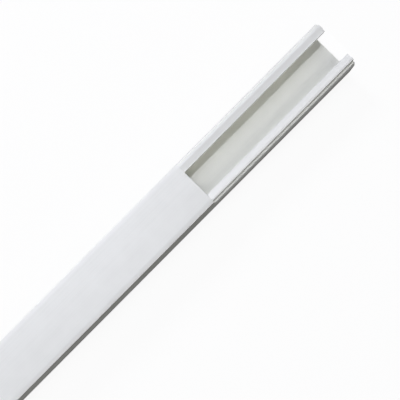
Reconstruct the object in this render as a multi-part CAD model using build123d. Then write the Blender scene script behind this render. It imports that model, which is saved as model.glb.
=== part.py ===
"""Two-piece cord cover raceway: an extruded channel that sticks to a wall, and the cover that snaps over it.

Millimetres. X runs along the raceway towards the end where the channel is uncovered, Z points away from the
wall. The origin is the middle of the channel's length, on the face that meets the wall.
"""

from build123d import *

import os

# Lengths along X
raceway_length = 400.0
cover_length = 400.0
cover_set_back = 69.5

# Channel section, with heights measured from the channel's own underside
channel_width = 20.0
floor_thickness = 1.0
wall_thickness = 1.0
side_lean = 0.1
heel_radius = 1.1
inner_heel_radius = 0.5

# Ledge that the cover's legs stand on, and the sloping shoulder from it down to the side
ledge_height = 7.9
ledge_width = 1.15
shoulder_run = 0.55
shoulder_drop = 1.4
shoulder_radius = 0.4
side_radius = 1.0

# Rail above the ledge: a latch with an undercut, a ramp over it and a nearly flat top
rail_rise = 1.1
latch_rise = 0.65
latch_reach = 0.35
ramp_run = 0.15
edge_run = 0.65
edge_drop = 0.08

# Lips that slope in from the rails, level out towards their noses and hold the cords
lip_gap = 11.1
lip_thickness = 0.85
lip_drop = 0.38
lip_level_run = 0.5
lip_nose_radius = 0.12

# Cover section: a slightly crowned top that rolls over towards its edges, and a leg on each side
cover_thickness = 0.9
cover_crown = 0.15
roll_width = 1.6
roll_drop = 0.3
roll_radius = 5.0
cover_edge_radius = 0.25
cover_inner_radius = 0.25
leg_thickness = 0.55
leg_lean = 0.2
fit_clearance = 0.1

# Adhesive strip on the underside, and its liner
tape_width = 14.0
tape_thickness = 1.0
liner_thickness = 0.12

# Heights and places that follow from the sizes above
channel_bottom = liner_thickness + tape_thickness
half_channel = channel_width / 2
shoulder_edge = half_channel - shoulder_run
groove_floor = shoulder_edge - ledge_width
rail_height = ledge_height + rail_rise
latch_height = ledge_height + latch_rise
latch_tip = groove_floor + latch_reach
undercut_foot = latch_height - latch_reach
rail_edge = latch_tip - ramp_run
crease = rail_edge - edge_run
rail_inner = groove_floor - wall_thickness
lip_nose = lip_gap / 2
lip_bend = lip_nose + lip_level_run
lip_top = rail_height - lip_drop
lip_underside = lip_top - lip_thickness
lip_foot = lip_underside + lip_drop * (rail_inner - lip_bend) / (crease - lip_bend)
cover_underside = rail_height + fit_clearance
cover_top = cover_underside + cover_thickness + cover_crown
leg_foot = ledge_height + fit_clearance
leg_inner = latch_tip + fit_clearance
half_cover = leg_inner + leg_thickness
hook_nose = groove_floor + fit_clearance
hook_drop = fit_clearance * 2**0.5
hook_top = undercut_foot + fit_clearance - hook_drop


def rounded(section, corners):
    """A half section with each corner (y, z) rounded to its own radius."""
    for y, z, radius in corners:
        corner = section.vertices().sort_by_distance((y, z))[0]
        section = fillet(corner, radius)
    return section


def extruded(half_section, start, length):
    """A half section and its mirror image, drawn out along X from the place start, on top of the tape."""
    whole = half_section + mirror(half_section, about=Plane.YZ)
    return Pos(0, 0, channel_bottom) * extrude(Plane.YZ.offset(start) * whole, length)


def channel_half_section():
    """Half of the channel: floor, side, sloping shoulder, ledge, latched rail and in-turned lip."""
    side_foot = half_channel - side_lean
    shoulder_foot = ledge_height - shoulder_drop
    inner_foot = side_foot - wall_thickness
    inner_side = half_channel - wall_thickness
    underledge = ledge_height - wall_thickness
    outline = [
        (0, 0),
        (side_foot, 0),
        (half_channel, shoulder_foot),
        (shoulder_edge, ledge_height),
        (groove_floor, ledge_height),
        (groove_floor, undercut_foot),
        (latch_tip, latch_height),
        (rail_edge, rail_height - edge_drop),
        (crease, rail_height),
        (lip_bend, lip_top),
        (lip_nose, lip_top),
        (lip_nose, lip_underside),
        (lip_bend, lip_underside),
        (rail_inner, lip_foot),
        (rail_inner, underledge),
        (inner_side - shoulder_run, underledge),
        (inner_side, shoulder_foot),
        (inner_foot, floor_thickness),
        (0, floor_thickness),
    ]
    return rounded(
        make_face(Polyline(*outline, close=True)),
        [
            (side_foot, 0, heel_radius),
            (half_channel, shoulder_foot, side_radius),
            (shoulder_edge, ledge_height, shoulder_radius),
            (lip_nose, lip_top, lip_nose_radius),
            (lip_nose, lip_underside, lip_nose_radius),
            (inner_side, shoulder_foot, side_radius),
            (inner_foot, floor_thickness, inner_heel_radius),
        ],
    )


def cover_half_section():
    """Half of the cover: crowned top, short leg, and the hook that snaps under the rail's latch."""
    roll_start = half_cover - roll_width
    roll_top = cover_top - cover_crown
    edge_top = roll_top - roll_drop
    outline = [
        (0, cover_top),
        (roll_start, roll_top),
        (half_cover, edge_top),
        (half_cover + leg_lean, leg_foot),
        (hook_nose, leg_foot),
        (hook_nose, hook_top),
        (leg_inner, hook_top + leg_inner - hook_nose),
        (leg_inner, cover_underside),
        (0, cover_underside),
    ]
    return rounded(
        make_face(Polyline(*outline, close=True)),
        [
            (roll_start, roll_top, roll_radius),
            (half_cover, edge_top, cover_edge_radius),
            (leg_inner, cover_underside, cover_inner_radius),
        ],
    )


def make_channel():
    """The channel, centred along the raceway."""
    return extruded(channel_half_section(), -raceway_length / 2, raceway_length)


def make_cover():
    """The cover, slid back along the rails so that the channel's end is open."""
    start = raceway_length / 2 - cover_set_back - cover_length
    return extruded(cover_half_section(), start, cover_length)


def make_strip(bottom, thickness):
    """A flat strip along the whole channel, from the height bottom upwards."""
    strip = Box(raceway_length, tape_width, thickness, align=(Align.CENTER, Align.CENTER, Align.MIN))
    return Pos(0, 0, bottom) * strip


pieces = {
    "base_channel": make_channel(),
    "snap_cover": make_cover(),
    "adhesive_tape": make_strip(liner_thickness, tape_thickness),
    "release_liner": make_strip(0.0, liner_thickness),
}

os.makedirs("parts", exist_ok=True)
for name, piece in pieces.items():
    export_step(piece, f"parts/{name}.step")
    print(name, round(piece.volume, 1), "mm3")
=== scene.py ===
# %% [markdown]
# A cord cover raceway, dressed for its picture
#
# The real object is two white plastic extrusions: a channel that sticks to the wall, and a cover that snaps
# over it and slides along it. Both were pushed through a die, so each is one drawn section, the same at every
# place along the length, sawn square at its ends. This script keeps to that: it draws the two sections once
# and lets Blender sweep them, so that every rounded corner is a real curve.
#
# The model's frame is in metres: X along the raceway, towards the end where the channel is open, Y across it
# and Z away from the wall. Sizes are written in millimetres, as on an extruder's drawing, unless a comment
# says otherwise.

import math

import bpy
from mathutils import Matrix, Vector


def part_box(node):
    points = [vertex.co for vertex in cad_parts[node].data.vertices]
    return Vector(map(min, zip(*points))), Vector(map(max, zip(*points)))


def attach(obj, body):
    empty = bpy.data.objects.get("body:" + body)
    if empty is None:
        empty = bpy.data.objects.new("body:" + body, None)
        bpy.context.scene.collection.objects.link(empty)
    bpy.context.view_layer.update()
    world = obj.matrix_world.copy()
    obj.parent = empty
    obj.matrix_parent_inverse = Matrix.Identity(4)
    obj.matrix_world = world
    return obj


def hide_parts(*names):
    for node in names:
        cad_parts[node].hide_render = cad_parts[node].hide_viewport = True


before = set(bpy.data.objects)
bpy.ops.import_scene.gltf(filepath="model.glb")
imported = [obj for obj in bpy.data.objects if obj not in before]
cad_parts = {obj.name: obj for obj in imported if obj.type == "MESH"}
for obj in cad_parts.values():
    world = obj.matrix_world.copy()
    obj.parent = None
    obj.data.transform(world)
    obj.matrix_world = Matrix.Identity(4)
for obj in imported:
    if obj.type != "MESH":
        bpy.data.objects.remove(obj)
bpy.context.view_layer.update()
MM = 0.001

# %% [markdown]
# Three small helpers carry the rest of the script.
#
# Colours are read off a surface as sRGB hex values, but a shader adds light in linear values, so one function
# turns the first into the second. Another starts a material with an empty tree. The last adds one node to a
# tree with its settings and its links, which keeps each material below short enough to read as a recipe.

# %% Helpers for colours and nodes
def linear(hex_colour):
    """A colour such as "E6E8EC" as linear red, green and blue, with an alpha of 1."""
    channels = []
    for start in (0, 2, 4):
        value = int(hex_colour[start:start + 2], 16) / 255
        channels.append(value / 12.92 if value <= 0.04045 else ((value + 0.055) / 1.055) ** 2.4)
    return (*channels, 1.0)


def empty_material(name):
    """A new material and its node tree, which has no nodes yet."""
    material = bpy.data.materials.new(name)
    material.use_nodes = True
    material.node_tree.nodes.clear()
    return material, material.node_tree


def add_node(tree, kind, settings=None, **links):
    """Adds one node. Settings are its properties, and links fill its inputs with a value or a socket.

    An input goes by its name on the node, with _ for each space, or by its number, as in _0.
    """
    node = tree.nodes.new(kind)
    for name, value in (settings or {}).items():
        setattr(node, name, value)
    for name, value in links.items():
        number = name[1:]
        socket = node.inputs[int(number) if number.isdigit() else name.replace("_", " ")]
        if isinstance(value, bpy.types.NodeSocket):
            tree.links.new(value, socket)
        else:
            socket.default_value = value
    return node


print("sRGB 808080 in linear values:", [round(value, 3) for value in linear("808080")])

# %% [markdown]
# The sections
#
# Each section is symmetric, so only its right half is drawn: a list of corners, each with its place across,
# its height and the radius that the die gives it. No die cuts a perfectly sharp corner, and those tiny radii
# are what catches the light along a real extrusion, so even the crisp corners have one. Only the corners down
# in the groove and on the hook, which hardly show, have none.
#
# The channel's half starts at the foot of its side, goes up the outside, over the ledge and the latched rail,
# and comes back along the lip and the inside.

# %% Sizes of the channel's section, in millimetres
channel_width = 20.0
floor_thickness = 1.0
wall_thickness = 1.0
side_lean = 0.1
heel_radius = 1.1
inner_heel_radius = 0.5
ledge_height = 7.9
ledge_width = 1.15
shoulder_run = 0.55
shoulder_drop = 1.4
shoulder_radius = 0.4
side_radius = 1.0
rail_rise = 1.1
latch_rise = 0.65
latch_reach = 0.35
ramp_run = 0.15
edge_run = 0.65
edge_drop = 0.08
lip_gap = 11.1
lip_thickness = 0.85
lip_drop = 0.38
lip_level_run = 0.5
crisp_radius = 0.1
lip_nose_radius = 0.06
latch_tip_radius = 0.05
print("channel:", channel_width, "mm wide, with walls of", wall_thickness, "mm")

# %% The channel's half section
half_channel = channel_width / 2
side_foot = half_channel - side_lean
shoulder_edge = half_channel - shoulder_run
shoulder_foot = ledge_height - shoulder_drop
groove_floor = shoulder_edge - ledge_width
rail_height = ledge_height + rail_rise
latch_height = ledge_height + latch_rise
latch_tip = groove_floor + latch_reach
undercut_foot = latch_height - latch_reach
rail_edge = latch_tip - ramp_run
crease = rail_edge - edge_run
rail_inner = groove_floor - wall_thickness
lip_nose = lip_gap / 2
lip_bend = lip_nose + lip_level_run
lip_top = rail_height - lip_drop
lip_underside = lip_top - lip_thickness
lip_foot = lip_underside + lip_drop * (rail_inner - lip_bend) / (crease - lip_bend)
underledge = ledge_height - wall_thickness
inner_side = half_channel - wall_thickness

channel_half = [
    (side_foot, 0, heel_radius),
    (half_channel, shoulder_foot, side_radius),
    (shoulder_edge, ledge_height, shoulder_radius),
    (groove_floor, ledge_height, 0),
    (groove_floor, undercut_foot, 0),
    (latch_tip, latch_height, latch_tip_radius),
    (rail_edge, rail_height - edge_drop, crisp_radius),
    (crease, rail_height, crisp_radius),
    (lip_bend, lip_top, crisp_radius),
    (lip_nose, lip_top, lip_nose_radius),
    (lip_nose, lip_underside, lip_nose_radius),
    (lip_bend, lip_underside, crisp_radius),
    (rail_inner, lip_foot, crisp_radius),
    (rail_inner, underledge, crisp_radius),
    (inner_side - shoulder_run, underledge, crisp_radius),
    (inner_side, shoulder_foot, side_radius),
    (side_foot - wall_thickness, floor_thickness, inner_heel_radius),
]
print("channel:", len(channel_half), "corners in half its section,", rail_height, "mm high at its rails")

# %% [markdown]
# The cover's top isn't flat. It is crowned by a fraction of a millimetre and rolls over in its last stretch
# before the edge, which keeps a wide thin strip from looking hollow and leads the light round its side. Its
# half starts in the middle of that top, goes down the leg and round the hook that holds under the channel's
# latch, and ends under the top. The places of leg and hook come from the channel's, with a small clearance.

# %% The cover's half section, in millimetres
cover_thickness = 0.9
cover_crown = 0.15
crown_radius = 100.0
roll_width = 1.6
roll_drop = 0.3
roll_radius = 5.0
leg_thickness = 0.55
leg_lean = 0.2
cover_edge_radius = 0.25
cover_inner_radius = 0.25
fit_clearance = 0.1

cover_underside = rail_height + fit_clearance
cover_top = cover_underside + cover_thickness + cover_crown
leg_foot = ledge_height + fit_clearance
leg_inner = latch_tip + fit_clearance
half_cover = leg_inner + leg_thickness
roll_top = cover_top - cover_crown
hook_nose = groove_floor + fit_clearance
hook_top = undercut_foot + fit_clearance * (1 - math.sqrt(2))

cover_half = [
    (0, cover_top, crown_radius),
    (half_cover - roll_width, roll_top, roll_radius),
    (half_cover, roll_top - roll_drop, cover_edge_radius),
    (half_cover + leg_lean, leg_foot, crisp_radius),
    (hook_nose, leg_foot, 0),
    (hook_nose, hook_top, 0),
    (leg_inner, hook_top + leg_inner - hook_nose, 0),
    (leg_inner, cover_underside, cover_inner_radius),
]
print("cover:", len(cover_half), "corners in half its section, top at", round(cover_top, 2), "mm")

# %% [markdown]
# Sweeping a section with Geometry Nodes
#
# An extrusion is a shape that follows a rule, so a node tree makes it: it rounds each corner by its own
# radius, fills the outline, and pushes the face along the raceway. The same could be done by hand in edit
# mode, but then a changed size would mean drawing every corner again. The tree's inputs are the place where
# the piece starts, its length, and how finely its corners are rounded.
#
# The corner radii travel with the curve's own points, as each point's radius. The outline is drawn flat, and
# the swept piece is stood up at the end: the outline's first axis becomes Y, its second becomes Z, and the
# sweep runs along X.

# %% The node tree that sweeps a section
corner_steps = 6
weld_distance = 0.001
stood_up = (math.pi / 2, 0, math.pi / 2)


def add_input(tree, name, kind, value):
    """A named input of a node tree, with the value it starts from."""
    tree.interface.new_socket(name=name, in_out="INPUT", socket_type=kind).default_value = value


def swept_section_tree(material):
    """A tree that turns a drawn outline into an extrusion of a given length along the raceway."""
    tree = bpy.data.node_groups.new("swept_section_" + material.name, "GeometryNodeTree")
    tree.interface.new_socket(name="Outline", in_out="INPUT", socket_type="NodeSocketGeometry")
    add_input(tree, "Start", "NodeSocketFloat", 0.0)
    add_input(tree, "Length", "NodeSocketFloat", 1.0)
    add_input(tree, "Corner steps", "NodeSocketInt", corner_steps)
    tree.interface.new_socket(name="Piece", in_out="OUTPUT", socket_type="NodeSocketGeometry")

    given = add_node(tree, "NodeGroupInput").outputs
    radius = add_node(tree, "GeometryNodeInputRadius").outputs["Radius"]
    rounded = add_node(
        tree, "GeometryNodeFilletCurve", {"mode": "POLY"},
        Curve=given["Outline"], Count=given["Corner steps"], Radius=radius,
    )
    face = add_node(tree, "GeometryNodeFillCurve", {"mode": "NGONS"}, Curve=rounded.outputs["Curve"])
    up = add_node(tree, "FunctionNodeInputVector", {"vector": (0, 0, 1)}).outputs["Vector"]
    body = add_node(
        tree, "GeometryNodeExtrudeMesh",
        Mesh=face.outputs["Mesh"], Offset=up, Offset_Scale=given["Length"], Individual=False,
    )
    back = add_node(tree, "GeometryNodeFlipFaces", Mesh=face.outputs["Mesh"])
    both = add_node(tree, "GeometryNodeJoinGeometry")
    for part in (body, back):
        tree.links.new(part.outputs["Mesh"], both.inputs["Geometry"])
    welded = add_node(
        tree, "GeometryNodeMergeByDistance",
        Geometry=both.outputs["Geometry"], Distance=weld_distance * MM,
    )
    place = add_node(tree, "ShaderNodeCombineXYZ", X=given["Start"]).outputs["Vector"]
    turned = add_node(
        tree, "GeometryNodeTransform",
        Geometry=welded.outputs["Geometry"], Translation=place, Rotation=stood_up,
    )
    real = add_node(tree, "GeometryNodeRealizeInstances", Geometry=turned.outputs["Geometry"])
    dressed = add_node(tree, "GeometryNodeSetMaterial", Geometry=real.outputs["Geometry"], Material=material)
    add_node(tree, "NodeGroupOutput", Piece=dressed.outputs["Geometry"])
    return tree


# %% [markdown]
# The outline is a closed curve of straight runs. Only the right half is listed, so the left half is its
# mirror image in reverse order, without the point that lies on the middle line.

# %% Draw an outline
channel_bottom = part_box("base_channel")[0][2] / MM


def outline_curve(name, half):
    """A closed curve from a right half and its mirror image; each point's radius is its corner's radius."""
    mirrored = [(-across, height, radius) for across, height, radius in reversed(half) if across > 0]
    points = half + mirrored
    curve = bpy.data.curves.new(name, "CURVE")
    curve.dimensions = "3D"
    spline = curve.splines.new("POLY")
    spline.points.add(len(points) - 1)
    spline.use_cyclic_u = True
    for point, (across, height, radius) in zip(spline.points, points):
        point.co = (across * MM, (height + channel_bottom) * MM, 0, 1)
        point.radius = radius * MM
    drawn = bpy.data.objects.new(name, curve)
    bpy.context.collection.objects.link(drawn)
    return drawn


print("the sections start", round(channel_bottom, 2), "mm above the wall, on top of the tape")

# %% [markdown]
# The tree sweeps the outline, and the result is kept as a plain mesh. Then a small bevel takes the sharpness
# off the sawn ends, as deburring does. It is no wider than the smallest corner radius: a wider one would make
# the sawn face's outline cross itself there. Its angle lets it work on the edges round the sawn faces, and on
# the square edges in the groove and on the hook, which got no radius of their own. At the end the faces are
# shaded smooth, except across edges that turn by more than 30 degrees.

# %% Sweep an outline and soften its sawn edges
saw_edge_bevel = 0.05
saw_edge_angle = 70
sharp_edge_angle = 30


def evaluated_mesh(piece, name):
    """A plain mesh object that keeps what a piece's modifiers make; the piece itself is removed."""
    seen = piece.evaluated_get(bpy.context.evaluated_depsgraph_get())
    mesh = bpy.data.meshes.new_from_object(seen)
    plain = bpy.data.objects.new(name, mesh)
    bpy.context.collection.objects.link(plain)
    bpy.data.objects.remove(piece)
    return plain


def swept_piece(name, half, start, length, material):
    """A section swept along the raceway from start, in metres, with its sawn edges softened."""
    drawn = outline_curve(name + "_outline", half)
    tree = swept_section_tree(material)
    sweep = drawn.modifiers.new("Sweep", "NODES")
    sweep.node_group = tree
    values = {"Start": start, "Length": length, "Corner steps": corner_steps}
    for socket in tree.interface.items_tree:
        if socket.name in values:
            sweep[socket.identifier] = values[socket.name]
    swept = evaluated_mesh(drawn, name + "_sawn")
    bevel = swept.modifiers.new("Sawn edge", "BEVEL")
    bevel.width = saw_edge_bevel * MM
    bevel.segments = 2
    bevel.limit_method = "ANGLE"
    bevel.angle_limit = math.radians(saw_edge_angle)
    piece = evaluated_mesh(swept, name)
    piece.data.shade_smooth()
    piece.data.set_sharp_from_angle(angle=math.radians(sharp_edge_angle))
    print(name, "swept:", len(piece.data.vertices), "points,", len(piece.data.polygons), "faces")
    return piece


# %% [markdown]
# Extruded PVC
#
# The plastic is rigid white PVC. It comes out of the die with a satin skin, faintly combed along its length
# by the die's own polish. The outside is a neutral white. The inside is painted a lighter, warmer white: this
# is painted light, standing in for the light that bounces there several times, and yellows a little, before
# it comes out.
#
# Both whites could be two materials, but on one extrusion they have no border. So the material asks each
# point of the surface where it lies: between the walls, under the lips and above the floor it is inside, and
# there the fill light is painted.

# %% Tell the inside of the channel, where fill light is painted, from its outside
# bounds of the space inside the channel where fill light is painted into the colour
fill_half_width = half_channel - wall_thickness / 2
fill_floor = channel_bottom + floor_thickness / 2
fill_top = channel_bottom + lip_underside + lip_thickness / 2
skin_blend = 0.3


def painted_fill_share(tree, place):
    """A socket that is 1 inside the channel, where fill light is painted, and 0 outside it, and changes over
    within the walls.
    """
    where = add_node(tree, "ShaderNodeSeparateXYZ", Vector=place).outputs
    across = add_node(tree, "ShaderNodeMath", {"operation": "ABSOLUTE"}, _0=where["Y"])
    between_walls = add_node(
        tree, "ShaderNodeMapRange", Value=across.outputs["Value"],
        From_Min=fill_half_width * MM, From_Max=(fill_half_width - skin_blend) * MM,
    )
    under_lips = add_node(
        tree, "ShaderNodeMapRange", Value=where["Z"],
        From_Min=fill_top * MM, From_Max=(fill_top - skin_blend) * MM,
    )
    above_floor = add_node(
        tree, "ShaderNodeMapRange", Value=where["Z"],
        From_Min=fill_floor * MM, From_Max=(fill_floor + skin_blend) * MM,
    )
    inside = add_node(
        tree, "ShaderNodeMath", {"operation": "MULTIPLY"},
        _0=between_walls.outputs["Result"], _1=under_lips.outputs["Result"],
    )
    painted_fill_mask = add_node(
        tree, "ShaderNodeMath", {"operation": "MULTIPLY"},
        _0=inside.outputs["Value"], _1=above_floor.outputs["Result"],
    )
    return painted_fill_mask.outputs["Value"]


print("inside:", fill_half_width, "mm to each side and up to", round(fill_top, 2), "mm above the wall")

# %% [markdown]
# The combing is a noise that is stretched about a thousand times along X. Real die lines are finer than the
# picture can show, so they are drawn as coarse as half a millimetre, and they are shallow. A second noise, a
# few millimetres wide, lets them come and go in the colour.

# %% Combing, and the white that it streaks
# the outer white, and the inside's lighter, warmer white, which is painted fill light for the light bounced
# inside the channel
outer_white = "EFF0EE"
painted_fill_white = "F5F6F0"
die_line_spacing = 0.5
die_line_length = 600.0
mottle_size = 6.0
# the product of both noises at which a streak is darkest, and how far it lightens and darkens the white
darkest_product = 0.5
lightest_streak = 1.02
darkest_streak = 0.95


def combing_noise(tree, place):
    """A socket with a noise that is drawn out along the extrusion."""
    combed_place = add_node(
        tree, "ShaderNodeMapping", _0=place,
        Scale=(1 / (die_line_length * MM), 1 / (die_line_spacing * MM), 1 / (die_line_spacing * MM)),
    )
    combing = add_node(
        tree, "ShaderNodeTexNoise", Vector=combed_place.outputs["Vector"],
        Scale=1.0, Detail=3.0, Roughness=0.55,
    )
    return combing.outputs["Fac"]


def streaked_white(tree, place, combing):
    """A socket with the PVC's colour: the outer white, or the inner white with its painted fill light, with
    streaks that come and go.
    """
    mottle = add_node(
        tree, "ShaderNodeTexNoise", Vector=place, Scale=1 / (mottle_size * MM), Detail=2.0, Roughness=0.5,
    )
    uneven = add_node(
        tree, "ShaderNodeMath", {"operation": "MULTIPLY"}, _0=combing, _1=mottle.outputs["Fac"],
    )
    streaks = add_node(
        tree, "ShaderNodeMapRange", Value=uneven.outputs["Value"],
        From_Min=0.0, From_Max=darkest_product, To_Min=lightest_streak, To_Max=darkest_streak,
    )
    # painted fill light: inside the channel the white is lighter and warmer, standing in for bounced light
    white = add_node(
        tree, "ShaderNodeMix", {"data_type": "RGBA"},
        _0=painted_fill_share(tree, place), _6=linear(outer_white), _7=linear(painted_fill_white),
    )
    streaked = add_node(
        tree, "ShaderNodeMix", {"data_type": "RGBA", "blend_type": "MULTIPLY"},
        _0=1.0, _6=white.outputs[2], _7=streaks.outputs["Result"],
    )
    return streaked.outputs[2]


print("die lines: about", die_line_spacing, "mm wide and", die_line_length, "mm long")

# %% [markdown]
# The gloss is soft, so lamps show as a broad pale sheen and never as a sharp spot, and the combing varies it
# a little. A saw cut breaks the skin, so the ends are duller. They are found by the way they face, which is
# along X.

# %% Gloss of the skin and of the saw cuts
satin_roughness = 0.55
satin_spread = 0.04
sawn_roughness = 0.7
# most of a noise lies between these two values
noise_low = 0.3
noise_high = 0.7
# a face counts as sawn between these two shares of its normal that lie along X
sawn_from = 0.6
sawn_to = 0.9


def skin_roughness(tree, normal, combing):
    """A socket with the roughness: satin along the skin, duller on the saw cuts."""
    facing = add_node(tree, "ShaderNodeSeparateXYZ", Vector=normal)
    sideways = add_node(tree, "ShaderNodeMath", {"operation": "ABSOLUTE"}, _0=facing.outputs["X"])
    sawn = add_node(
        tree, "ShaderNodeMapRange", Value=sideways.outputs["Value"], From_Min=sawn_from, From_Max=sawn_to,
    )
    satin = add_node(
        tree, "ShaderNodeMapRange", Value=combing, From_Min=noise_low, From_Max=noise_high,
        To_Min=satin_roughness - satin_spread, To_Max=satin_roughness + satin_spread,
    )
    dulled = add_node(
        tree, "ShaderNodeMix", _0=sawn.outputs["Result"], _2=satin.outputs["Result"], _3=sawn_roughness,
    )
    return dulled.outputs[0]


print("roughness:", satin_roughness, "on the skin and", sawn_roughness, "on the saw cuts")

# %% [markdown]
# Colour, gloss and a shallow bump all take their streaks from the same combing, so a darker streak is also a
# little duller and stands a trace higher, as the line does that a notch in the die leaves.

# %% Material for the two extrusions
pvc_ior = 1.53
die_line_depth = 0.004
die_line_strength = 0.35


def extruded_pvc(name):
    """Satin white PVC with faint lines along the extrusion, an inside painted lighter and warmer as fill
    light, and duller sawn ends.
    """
    material, tree = empty_material(name)
    place = add_node(tree, "ShaderNodeTexCoord").outputs
    combing = combing_noise(tree, place["Object"])
    relief = add_node(
        tree, "ShaderNodeBump", Height=combing, Strength=die_line_strength, Distance=die_line_depth * MM,
    )
    skin = add_node(
        tree, "ShaderNodeBsdfPrincipled",
        Base_Color=streaked_white(tree, place["Object"], combing),
        Roughness=skin_roughness(tree, place["Normal"], combing),
        Normal=relief.outputs["Normal"], IOR=pvc_ior,
    )
    add_node(tree, "ShaderNodeOutputMaterial", Surface=skin.outputs["BSDF"])
    return material


channel_pvc = extruded_pvc("extruded_pvc_channel")
cover_pvc = extruded_pvc("extruded_pvc_cover")
for pvc in (channel_pvc, cover_pvc):
    print(pvc.name, "has", len(pvc.node_tree.nodes), "nodes")

# %% [markdown]
# Each sweep starts and ends where its solid does, so its length is read from the frame. The sections repeat
# the solids' own sizes and are rounded more finely. The sweeps take the solids' places and ride on the same
# bodies.

# %% Sweep the channel and the cover
channel_low, channel_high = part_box("base_channel")
cover_low, cover_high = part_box("snap_cover")
channel_length = channel_high[0] - channel_low[0]
cover_length = cover_high[0] - cover_low[0]
channel = swept_piece("channel_extrusion", channel_half, channel_low[0], channel_length, channel_pvc)
cover = swept_piece("cover_extrusion", cover_half, cover_low[0], cover_length, cover_pvc)
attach(channel, "channel")
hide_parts("base_channel")
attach(cover, "cover")
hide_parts("snap_cover")

# %% [markdown]
# Foam tape
#
# The tape is a slice of closed-cell polyethylene foam with a film of tacky adhesive on both faces. The foam
# is blown in a sheet, slit to width and laid on by a roller as the channel leaves the saw. Only its slit
# edges show, a millimetre high, and there the knife has opened bubbles about a fifth of a millimetre across.
# They are far too many to model, so a pattern of cells draws them, and the borders between the cells are the
# bubbles' thin walls. The cells are a little larger than real bubbles, so that they can show.

# %% Material for the foam tape
bubble_wall_colour = "E6E7DB"
# painted shade: the colour that the opened bubbles' hollows are darkened to
hollow_shade_colour = "C4C5B6"
bubble_size = 0.3
bubble_unevenness = 0.9
# how thick a bubble's wall is drawn, as a share of the bubble
bubble_wall = 0.25
bubble_depth = 0.06
bubble_strength = 0.5
foam_cloud_size = 5.0
foam_roughness = 0.8


def foam_material():
    """Off-white foam: pale bubble walls, hollows painted slightly darker as their shade, and a dull, even
    skin.
    """
    material, tree = empty_material("closed_cell_foam")
    place = add_node(tree, "ShaderNodeTexCoord").outputs["Object"]
    bubbles = add_node(
        tree, "ShaderNodeTexVoronoi", {"feature": "DISTANCE_TO_EDGE"},
        Vector=place, Scale=1 / (bubble_size * MM), Randomness=bubble_unevenness,
    )
    hollow = add_node(
        tree, "ShaderNodeMapRange", Value=bubbles.outputs["Distance"], From_Min=0.0, From_Max=bubble_wall,
    )
    cloud = add_node(
        tree, "ShaderNodeTexNoise", Vector=place, Scale=1 / (foam_cloud_size * MM), Detail=2.0,
    )
    shade = add_node(
        tree, "ShaderNodeMath", {"operation": "MULTIPLY"},
        _0=hollow.outputs["Result"], _1=cloud.outputs["Fac"],
    )
    # painted shade: the bubbles' hollows are darkened to stand for the shade in them, more in some clouds
    # than others
    tint = add_node(
        tree, "ShaderNodeMix", {"data_type": "RGBA"},
        _0=shade.outputs["Value"], _6=linear(bubble_wall_colour), _7=linear(hollow_shade_colour),
    )
    relief = add_node(
        tree, "ShaderNodeBump", {"invert": True},
        Height=hollow.outputs["Result"], Strength=bubble_strength, Distance=bubble_depth * MM,
    )
    foam = add_node(
        tree, "ShaderNodeBsdfPrincipled",
        Base_Color=tint.outputs[2], Roughness=foam_roughness, Normal=relief.outputs["Normal"],
    )
    add_node(tree, "ShaderNodeOutputMaterial", Surface=foam.outputs["BSDF"])
    return material


# %% [markdown]
# Release liner
#
# The liner is kraft paper, dyed yellow and pressed smooth, then coated with silicone so that the adhesive
# lets go of it. Its face is a soft, even gloss over paper that is never quite one colour: the fibres lie in
# clouds a few millimetres wide, and in flecks that the machine has combed along the web. Paper is made in
# wide webs and slit, so the flecks run along the raceway too. Two noises make it, one for the clouds and one,
# stretched along X, for the flecks.

# %% Material for the liner
pale_dye = "D2C062"
deep_dye = "BDA94C"
# the dye deepens between these two products of both noises
pale_up_to = 0.12
deep_from = 0.4
fibre_length = 1.6
fibre_width = 0.25
fibre_depth = 0.01
fibre_strength = 0.3
pulp_cloud_size = 4.0
smooth_roughness = 0.36
fleck_roughness = 0.46


def liner_material():
    """Yellow coated paper: a cloudy dye with combed fibre flecks under a soft gloss."""
    material, tree = empty_material("silicone_coated_paper")
    place = add_node(tree, "ShaderNodeTexCoord").outputs["Object"]
    along_web = add_node(
        tree, "ShaderNodeMapping", _0=place,
        Scale=(1 / (fibre_length * MM), 1 / (fibre_width * MM), 1 / (fibre_width * MM)),
    )
    fibres = add_node(
        tree, "ShaderNodeTexNoise", Vector=along_web.outputs["Vector"], Scale=1.0, Detail=3.0, Roughness=0.6,
    )
    clouds = add_node(
        tree, "ShaderNodeTexNoise", Vector=place, Scale=1 / (pulp_cloud_size * MM), Detail=3.0,
    )
    uneven = add_node(
        tree, "ShaderNodeMath", {"operation": "MULTIPLY"},
        _0=fibres.outputs["Fac"], _1=clouds.outputs["Fac"],
    )
    dye = add_node(
        tree, "ShaderNodeMapRange", Value=uneven.outputs["Value"], From_Min=pale_up_to, From_Max=deep_from,
    )
    tint = add_node(
        tree, "ShaderNodeMix", {"data_type": "RGBA"},
        _0=dye.outputs["Result"], _6=linear(pale_dye), _7=linear(deep_dye),
    )
    gloss = add_node(
        tree, "ShaderNodeMapRange", Value=fibres.outputs["Fac"],
        From_Min=noise_low, From_Max=noise_high, To_Min=smooth_roughness, To_Max=fleck_roughness,
    )
    relief = add_node(
        tree, "ShaderNodeBump",
        Height=fibres.outputs["Fac"], Strength=fibre_strength, Distance=fibre_depth * MM,
    )
    paper = add_node(
        tree, "ShaderNodeBsdfPrincipled",
        Base_Color=tint.outputs[2], Roughness=gloss.outputs["Result"], Normal=relief.outputs["Normal"],
    )
    add_node(tree, "ShaderNodeOutputMaterial", Surface=paper.outputs["BSDF"])
    return material


# %% [markdown]
# Both strips are slit with square edges, and that is how the solids are made. Their meshes stay, and only
# their material slots get the new finishes.

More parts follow.
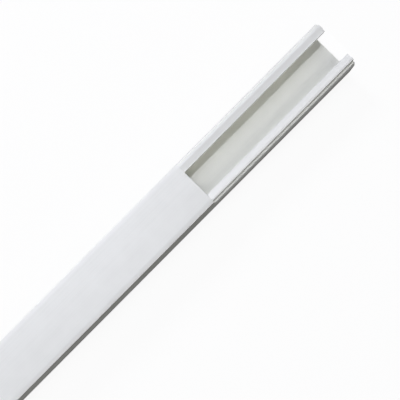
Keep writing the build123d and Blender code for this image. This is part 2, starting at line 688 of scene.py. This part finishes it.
# %% Dress the two strips
for node, finish in (("adhesive_tape", foam_material()), ("release_liner", liner_material())):
    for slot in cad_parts[node].material_slots:
        slot.link = "OBJECT"
        slot.material = finish
    print(node, "wears", finish.name)

# %% [markdown]
# The floor and the air
#
# The floor is a pale sheet. It shows the camera a plain white, as a studio sweep does, and keeps a little of
# its own shading, so that the raceway's soft shadow stays on it. More light would whiten it too, but would
# bleach the raceway. A mirror image of it gets a quarter of that white, which is as much as shows low along
# the raceway's shaded side, and the lamps see a dark grey sheet, so that it doesn't light the raceway from
# below. The air around is white to the camera and in gloss, and lights nothing else.

# %% Floor
floor_side = 6000.0
floor_gap = 0.05
sheet_white = "FAFAFA"
sheet_grey = "3C3C3C"
floor_whiteness = 0.92
reflected_whiteness = 0.25


def sweep_material():
    """White to the camera, with a little of its own shading, weaker in gloss, and dark grey to the lamps."""
    material, tree = empty_material("studio_sweep")
    ray = add_node(tree, "ShaderNodeLightPath").outputs
    seen = add_node(
        tree, "ShaderNodeMath", {"operation": "MAXIMUM"},
        _0=ray["Is Camera Ray"], _1=ray["Is Transmission Ray"],
    )
    mirrored = add_node(
        tree, "ShaderNodeMath", {"operation": "MULTIPLY"}, _0=ray["Is Glossy Ray"], _1=reflected_whiteness,
    )
    share = add_node(
        tree, "ShaderNodeMath", {"operation": "MULTIPLY_ADD"},
        _0=seen.outputs["Value"], _1=floor_whiteness, _2=mirrored.outputs["Value"],
    )
    paint = add_node(
        tree, "ShaderNodeMix", {"data_type": "RGBA"},
        _0=seen.outputs["Value"], _6=linear(sheet_grey), _7=linear(sheet_white),
    )
    matt = add_node(tree, "ShaderNodeBsdfDiffuse", Color=paint.outputs[2])
    white = add_node(tree, "ShaderNodeEmission", Color=(1, 1, 1, 1), Strength=1.0)
    mixed = add_node(tree, "ShaderNodeMixShader", _0=share.outputs["Value"])
    tree.links.new(matt.outputs["BSDF"], mixed.inputs[1])
    tree.links.new(white.outputs["Emission"], mixed.inputs[2])
    add_node(tree, "ShaderNodeOutputMaterial", Surface=mixed.outputs["Shader"])
    return material


def studio_floor():
    """A large flat square just under the raceway."""
    half = floor_side * MM / 2
    corners = [(-half, -half, 0), (half, -half, 0), (half, half, 0), (-half, half, 0)]
    mesh = bpy.data.meshes.new("studio_floor")
    mesh.from_pydata(corners, [], [(0, 1, 2, 3)])
    mesh.materials.append(sweep_material())
    floor = bpy.data.objects.new("studio_floor", mesh)
    bpy.context.collection.objects.link(floor)
    floor.location.z = -floor_gap * MM
    return floor


print("floor:", [round(side, 2) for side in studio_floor().dimensions[:2]], "m")

# %% Air
world = bpy.data.worlds.new("studio_air")
bpy.context.scene.world = world
world.use_nodes = True
air_tree = world.node_tree
air_tree.nodes.clear()
air_ray = add_node(air_tree, "ShaderNodeLightPath").outputs
looked_at = add_node(
    air_tree, "ShaderNodeMath", {"operation": "MAXIMUM"},
    _0=air_ray["Is Camera Ray"], _1=air_ray["Is Glossy Ray"],
)
air_seen = add_node(
    air_tree, "ShaderNodeMath", {"operation": "MAXIMUM"},
    _0=looked_at.outputs["Value"], _1=air_ray["Is Transmission Ray"],
)
air = add_node(air_tree, "ShaderNodeBackground", Color=(1, 1, 1, 1), Strength=air_seen.outputs["Value"])
add_node(air_tree, "ShaderNodeOutputWorld", Surface=air.outputs["Background"])
print("air:", world.name, "with", len(air_tree.nodes), "nodes")

# %% [markdown]
# The lamps
#
# One small, distant lamp is the key. It stands over the raceway, a little to its far side, so the left lip
# throws a clean shadow on the channel's floor. Softer lamps fill in. On the left, a narrow low one shines
# over the left lip, so that it brightens the tops but not the floor that shows, and the right lip's inner
# edge stays crisp. A wider one above it fills tops and floor alike, and so does a weak one towards the
# covered end. A warm one on the right reaches in under the left lip, and keeps the near side from going
# black. The last lamp is as small and weak as a white card held at the open end. It gives back the light
# that the last few millimetres of the floor lose, because no wall stands beyond them.
#
# All lamps look at one place in the open stretch, each from its own direction. Two numbers give the
# direction, its shares along X and along Y, and its share along Z follows from them.

# %% Lamps
cool_white = (0.92, 0.93, 1.0)
warm_white = (1.0, 0.98, 0.9)
# the place that all lamps look at, in metres
look_at = Vector((0.14, 0.0, 0.005))
# each lamp's name, direction along X and along Y, distance and side in metres, power in watts, colour
lamps = [
    ("key_lamp", 0.1, 0.163, 1.2, 0.04, 3.15, cool_white),
    ("left_low_lamp", 0.0, 0.88, 0.9, 0.2, 4.6, cool_white),
    ("left_high_lamp", 0.0, 0.35, 0.9, 0.45, 1.75, cool_white),
    ("covered_end_lamp", -0.5, 0.2, 0.9, 0.45, 0.6, cool_white),
    ("right_lamp", 0.0, -0.57, 0.9, 0.45, 1.57, warm_white),
    ("open_end_card", 0.9999, 0.0, 0.066, 0.012, 0.00018, cool_white),
]

for name, along, across, distance, side, power, colour in lamps:
    direction = Vector((along, across, math.sqrt(1 - along**2 - across**2)))
    light = bpy.data.lights.new(name, "AREA")
    light.size = side
    light.energy = power
    light.color = colour
    lamp = bpy.data.objects.new(name, light)
    lamp.location = look_at + distance * direction
    lamp.rotation_euler = direction.to_track_quat("Z", "Y").to_euler()
    bpy.context.collection.objects.link(lamp)
    print(name, "is", round(math.degrees(math.asin(direction.z))), "degrees above the floor")

# %% [markdown]
# The camera
#
# The photograph looks straight down at the raceway from about 14 cm, with the raceway turned across the
# frame. Its optical centre isn't the picture's centre, as in any picture that was cropped, and the camera's
# shift stands for that crop. The focal length and the centre are in pixels of the picture.

# %% Camera
picture_side = 400
focal_pixels = 377.1
optical_centre = (236.5, 234.0)
camera_place = Vector((128.1, -22.5, 141.2)) * MM
camera_turn = -45.17
sensor_width = 36.0
nearest_seen = 10.0

camera_data = bpy.data.cameras.new("camera")
camera_data.sensor_width = sensor_width
camera_data.lens = focal_pixels / picture_side * sensor_width
camera_data.shift_x = (picture_side / 2 - optical_centre[0]) / picture_side
camera_data.shift_y = (optical_centre[1] - picture_side / 2) / picture_side
camera_data.clip_start = nearest_seen * MM
camera = bpy.data.objects.new("camera", camera_data)
camera.location = camera_place
camera.rotation_euler = (0, 0, math.radians(camera_turn))
bpy.context.collection.objects.link(camera)
bpy.context.scene.camera = camera
bpy.context.scene.view_settings.view_transform = "Standard"
print("camera:", round(camera_data.lens, 1), "mm lens,", round(camera.location.z / MM), "mm above the floor")
